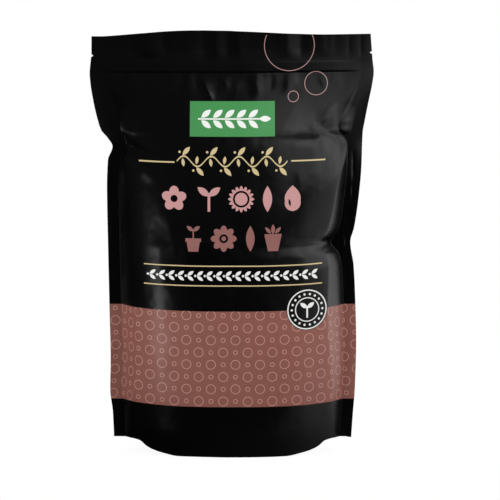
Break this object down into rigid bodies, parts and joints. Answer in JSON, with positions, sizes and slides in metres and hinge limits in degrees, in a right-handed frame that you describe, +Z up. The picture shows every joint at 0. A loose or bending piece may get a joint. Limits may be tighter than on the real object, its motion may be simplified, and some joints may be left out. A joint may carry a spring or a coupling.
{
  "type": "compost bag",
  "caption": "Filled stand-up zip pouch of potting compost in matte black film, with flat side seals and a gusseted base.",
  "frame": {"origin": "middle of the box of the base, on the ground that the pouch stands on", "axes": "+Z up the pouch, front panel facing -Y, X across its width"},
  "size_m": [0.3004, 0.1216, 0.445],
  "materials": {
    "film": "satin black laminate film, printed"
  },
  "bodies": {
    "root": {"pouch": "film"}
  },
  "joints": []
}
